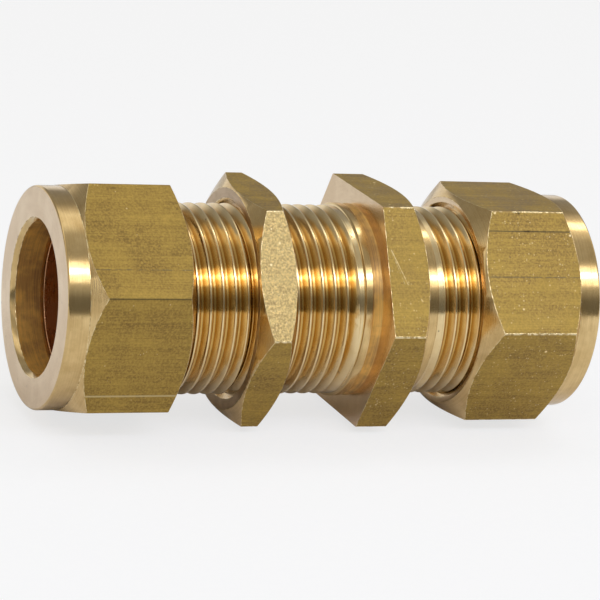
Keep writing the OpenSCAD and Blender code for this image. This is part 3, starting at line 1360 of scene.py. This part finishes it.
@dataclass
class Studio:
    """Floor, light and camera."""

    aim: tuple[float, float, float] = (-4.89, 0.0, 0.0)
    back: tuple[float, float, float] = (-0.38320, -0.88528, 0.26349)
    up: tuple[float, float, float] = (-0.00404, 0.28687, 0.95796)
    distance: float = 327.4
    lens: float = 180.3
    slide: tuple[float, float] = (-0.316, -0.136)
    # the room's brightness round the X axis: 0 below behind, 0.5 level in front, 0.75 above, 1 behind
    sky: tuple[tuple[float, float], ...] = (
        (0.0, 0.6), (0.49, 0.6), (0.502, 0.15), (0.545, 0.18), (0.58, 0.5),
        (0.60, 0.66), (0.645, 0.66), (0.665, 0.4), (0.735, 0.5), (0.765, 1.0),
        (0.81, 1.0), (0.85, 0.35), (0.935, 0.28), (0.965, 0.85), (1.0, 0.85),
    )

    def lay_floor(self) -> None:
        """A wide pale floor under the lowest point of the coupling."""
        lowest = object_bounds()[0][2]
        clear_selection()
        bpy.ops.mesh.primitive_circle_add(
            vertices=96, radius=1.6, fill_type="NGON", location=(0, 0, lowest)
        )
        floor = bpy.context.object
        floor.name = "floor"
        bpy.ops.object.transform_apply(location=True, rotation=True, scale=True)
        material, bench, shader = new_material("pale_floor")
        speckle = bench.noise(bench.place(), 900.0, 3.0)
        colour = bench.mix(speckle, (0.88, 0.88, 0.87, 1.0), (0.93, 0.93, 0.92, 1.0))
        bench.tree.links.new(colour, shader.inputs["Base Color"])
        shader.inputs["Roughness"].default_value = 0.7
        glow = bench.put("ShaderNodeEmission", {"Color": (1, 1, 1, 1), "Strength": 1.0})
        seen = bench.times(bench.put("ShaderNodeLightPath").outputs["Is Camera Ray"], 0.72)
        both = bench.put("ShaderNodeMixShader", {0: seen, 1: shader.outputs[0], 2: glow.outputs[0]})
        output = material.node_tree.nodes["Material Output"]
        bench.tree.links.new(both.outputs[0], output.inputs["Surface"])
        floor.data.materials.append(material)
        floor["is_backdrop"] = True

    def hang_box(
        self,
        name: str,
        x: float,
        lean: float,
        reach: float,
        size: tuple[float, float],
        radiance: float,
        tint: tuple[float, float, float] = (1.0, 1.0, 1.0),
    ) -> None:
        """A soft box that faces the coupling.

        Args:
            name: the light's name.
            x: its middle's share along X, as a part of its distance.
            lean: its height in degrees about X, 0 in front and 90 above.
            reach: its distance, in metres.
            size: its length along X and its width, in metres.
            radiance: how bright its face is.
            tint: its colour.
        """
        clear_selection()
        angle = math.radians(lean)
        place = (x * reach, -math.cos(angle) * reach, math.sin(angle) * reach)
        bpy.ops.object.light_add(type="AREA", location=place)
        box = bpy.context.object
        box.name = name
        box.rotation_euler = (math.pi / 2 - angle, 0.0, 0.0)
        box.data.shape = "RECTANGLE"
        box.data.size, box.data.size_y = size
        box.data.energy = radiance * math.pi * size[0] * size[1]
        box.data.color = tint
        box.visible_camera = False

    def hang_lights(self) -> None:
        """Long soft boxes in front above the coupling, in a pale room that is dim behind the camera."""
        self.hang_box("soft_box", 0.2, 42.4, 0.62, (1.3, 0.235), 1.4)
        self.hang_box("soft_box_core", 0.3, 43.0, 0.60, (0.9, 0.05), 5.5, (0.84, 0.97, 1.45))
        self.hang_box("top_box", 0.62, 104.0, 0.62, (0.3, 0.1), 3.0)
        world = bpy.context.scene.world or bpy.data.worlds.new("room")
        bpy.context.scene.world = world
        world.use_nodes = True
        world.node_tree.nodes.clear()
        bench = NodeBench(world.node_tree)
        direction = bench.put("ShaderNodeTexCoord").outputs["Generated"]
        parts = bench.put("ShaderNodeSeparateXYZ", {0: direction}).outputs
        turn = bench.math("ARCTAN2", parts[2], bench.math("MULTIPLY", parts[1], -1.0))
        share = bench.math("MULTIPLY_ADD", turn, 0.5 / math.pi, 0.5)
        ramp = bench.put("ShaderNodeValToRGB", {0: share})
        stops = ramp.color_ramp.elements
        while len(stops) < len(self.sky):
            stops.new(0.5)
        for stop, (spot, level) in zip(stops, self.sky):
            stop.position = spot
            stop.color = (level, level * 0.985, level * 0.96, 1.0)
        room = bench.put("ShaderNodeBackground", {"Color": ramp.outputs[0], "Strength": 1.0})
        white = bench.put("ShaderNodeBackground", {"Color": (1, 1, 1, 1), "Strength": 1.0})
        seen = bench.put("ShaderNodeLightPath").outputs["Is Camera Ray"]
        both = bench.put("ShaderNodeMixShader", {0: seen, 1: room.outputs[0], 2: white.outputs[0]})
        bench.put("ShaderNodeOutputWorld", {"Surface": both.outputs[0]})

    def set_camera(self) -> None:
        """The camera, a little above the coupling and to its left."""
        clear_selection()
        back, up = Vector(self.back), Vector(self.up)
        right = up.cross(back).normalized()
        up = back.cross(right).normalized()
        place = Vector(self.aim) + back * self.distance + right * self.slide[0] + up * self.slide[1]
        bpy.ops.object.camera_add()
        camera = bpy.context.object
        camera.matrix_world = Matrix((
            (right.x, up.x, back.x, place.x * MM), (right.y, up.y, back.y, place.y * MM),
            (right.z, up.z, back.z, place.z * MM), (0, 0, 0, 1),
        ))
        camera.data.lens = self.lens
        camera.data.sensor_width = 36.0
        camera.data.clip_start = 0.01
        bpy.context.scene.camera = camera

    def build(self) -> None:
        """Set up everything round the coupling."""
        self.lay_floor()
        self.hang_lights()
        self.set_camera()
        bpy.context.scene.view_settings.view_transform = "Standard"


def coats_for_pieces(effects: Effects) -> dict[str, list[bpy.types.Material]]:
    """Mix every finish and sort the coats by piece.

    Args:
        effects: the shared effects.

    Returns:
        For each piece, or pair of olives, its materials in the order of Surface.
    """
    turned = TurnedBrass("turned_brass").build(effects)
    faced = TurnedBrass(
        "faced_brass", colour=(0.92, 0.72, 0.47, 1.0), shadow=(0.76, 0.56, 0.34, 1.0), roughness=0.2
    ).build(effects)
    bored = TurnedBrass(
        "bored_brass",
        colour=(0.96, 0.56, 0.13, 1.0),
        shadow=(0.30, 0.16, 0.06, 1.0),
        roughness=0.32,
        film=0.0,
        metallic=0.4,
    ).build(effects)
    thread = ThreadBrass("thread_brass").build(effects)
    edge = RubbedEdge("rubbed_edge").build(effects)
    copper = TurnedBrass(
        "olive_brass", colour=(0.78, 0.47, 0.26, 1.0), shadow=(0.6, 0.32, 0.15, 1.0), roughness=0.25
    ).build(effects)
    # the lock nut's flat facing the soft box: a grainier finish, painted lighter and with many painted
    # glints
    grainy_painted_lit = DrawnBrass(
        "grainy_flat_painted_lit",
        colour=(0.52, 0.385, 0.155, 1.0),
        shadow=(0.29, 0.195, 0.07, 1.0),
        grain=1.5,
        roughness=0.5,
        painted_glint_share=0.34,
    ).build(effects)
    body_flats = DrawnBrass(
        "body_flats",
        painted_glint_share=0.12,
        scratches=(
            Scratch((0.46, -9.53, 8.29), (2.07, -11.44, 4.98), 0.09),
            Scratch((0.75, -10.05, 7.4), (1.75, -11.5, 4.9), 0.06),
            Scratch((3.4, -12.2, 3.7), (3.6, -12.3, 3.4), 0.12),
        ),
    ).build(effects)
    lock_flats = DrawnBrass("lock_flats").build(effects)
    lock_faced = TurnedBrass(
        "lock_faced",
        colour=(0.62, 0.46, 0.29, 1.0),
        shadow=(0.40, 0.28, 0.16, 1.0),
        roughness=0.3,
        film=0.0,
    ).build(effects)
    left_flats = DrawnBrass(
        "left_nut_flats",
        # the first seam is a near-black broken line along the ridge at 16 degrees
        seams=(Seam(16.0, 0.14, 0.04, 0.4), Seam(-36.0, 0.16, 0.75, 0.3), Seam(30.0, 0.1, 0.2, 0.55)),
    ).build(effects)
    right_flats = DrawnBrass(
        "right_nut_flats",
        painted_glint_share=0.12,
        seams=(Seam(52.0, 0.12, 0.1, 0.3), Seam(28.3, 0.1, 0.2, 0.5)),
        scratches=(
            Scratch((15.8, -6.85, 11.9), (16.4, -6.8, 11.9), 0.28, bright=False),
            Scratch((16.7, -7.8, 10.1), (17.3, -7.85, 10.05), 0.16, bright=False),
            Scratch((19.2, -9.3, 7.3), (19.5, -9.9, 6.4), 0.09),
        ),
    ).build(effects)
    rest = [turned, thread, edge, faced, bored, grainy_painted_lit]
    return {
        "fitting_body": [body_flats, *rest],
        "lock_nut": [lock_flats, turned, thread, edge, lock_faced, bored, grainy_painted_lit],
        "left_nut": [left_flats, *rest],
        "right_nut": [right_flats, *rest],
        "olives": [copper] * len(Surface),
    }


def main() -> None:
    """Build the coupling piece by piece, then the studio."""
    logging.basicConfig(level=logging.INFO, format="%(message)s")
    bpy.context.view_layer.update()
    coats = coats_for_pieces(Effects())
    FittingBody().build(coats["fitting_body"])
    LockNut().build(coats["lock_nut"])
    left_nut = CompressionNut("left_nut", "nut_left", end=End.LEFT, turn=16.0, rubbed_ridges=False)
    left_nut.build(coats["left_nut"])
    right_nut = CompressionNut(
        "right_nut", "nut_right", end=End.RIGHT, turn=0.8, mouth_bevel=35.0, mouth_drop=0.5
    )
    right_nut.build(coats["right_nut"])
    Olive("left_olive", "olive_left", end=End.LEFT).build(coats["olives"])
    Olive("right_olive", "olive_right", end=End.RIGHT).build(coats["olives"])
    Studio().build()


if __name__ == "__main__":
    main()
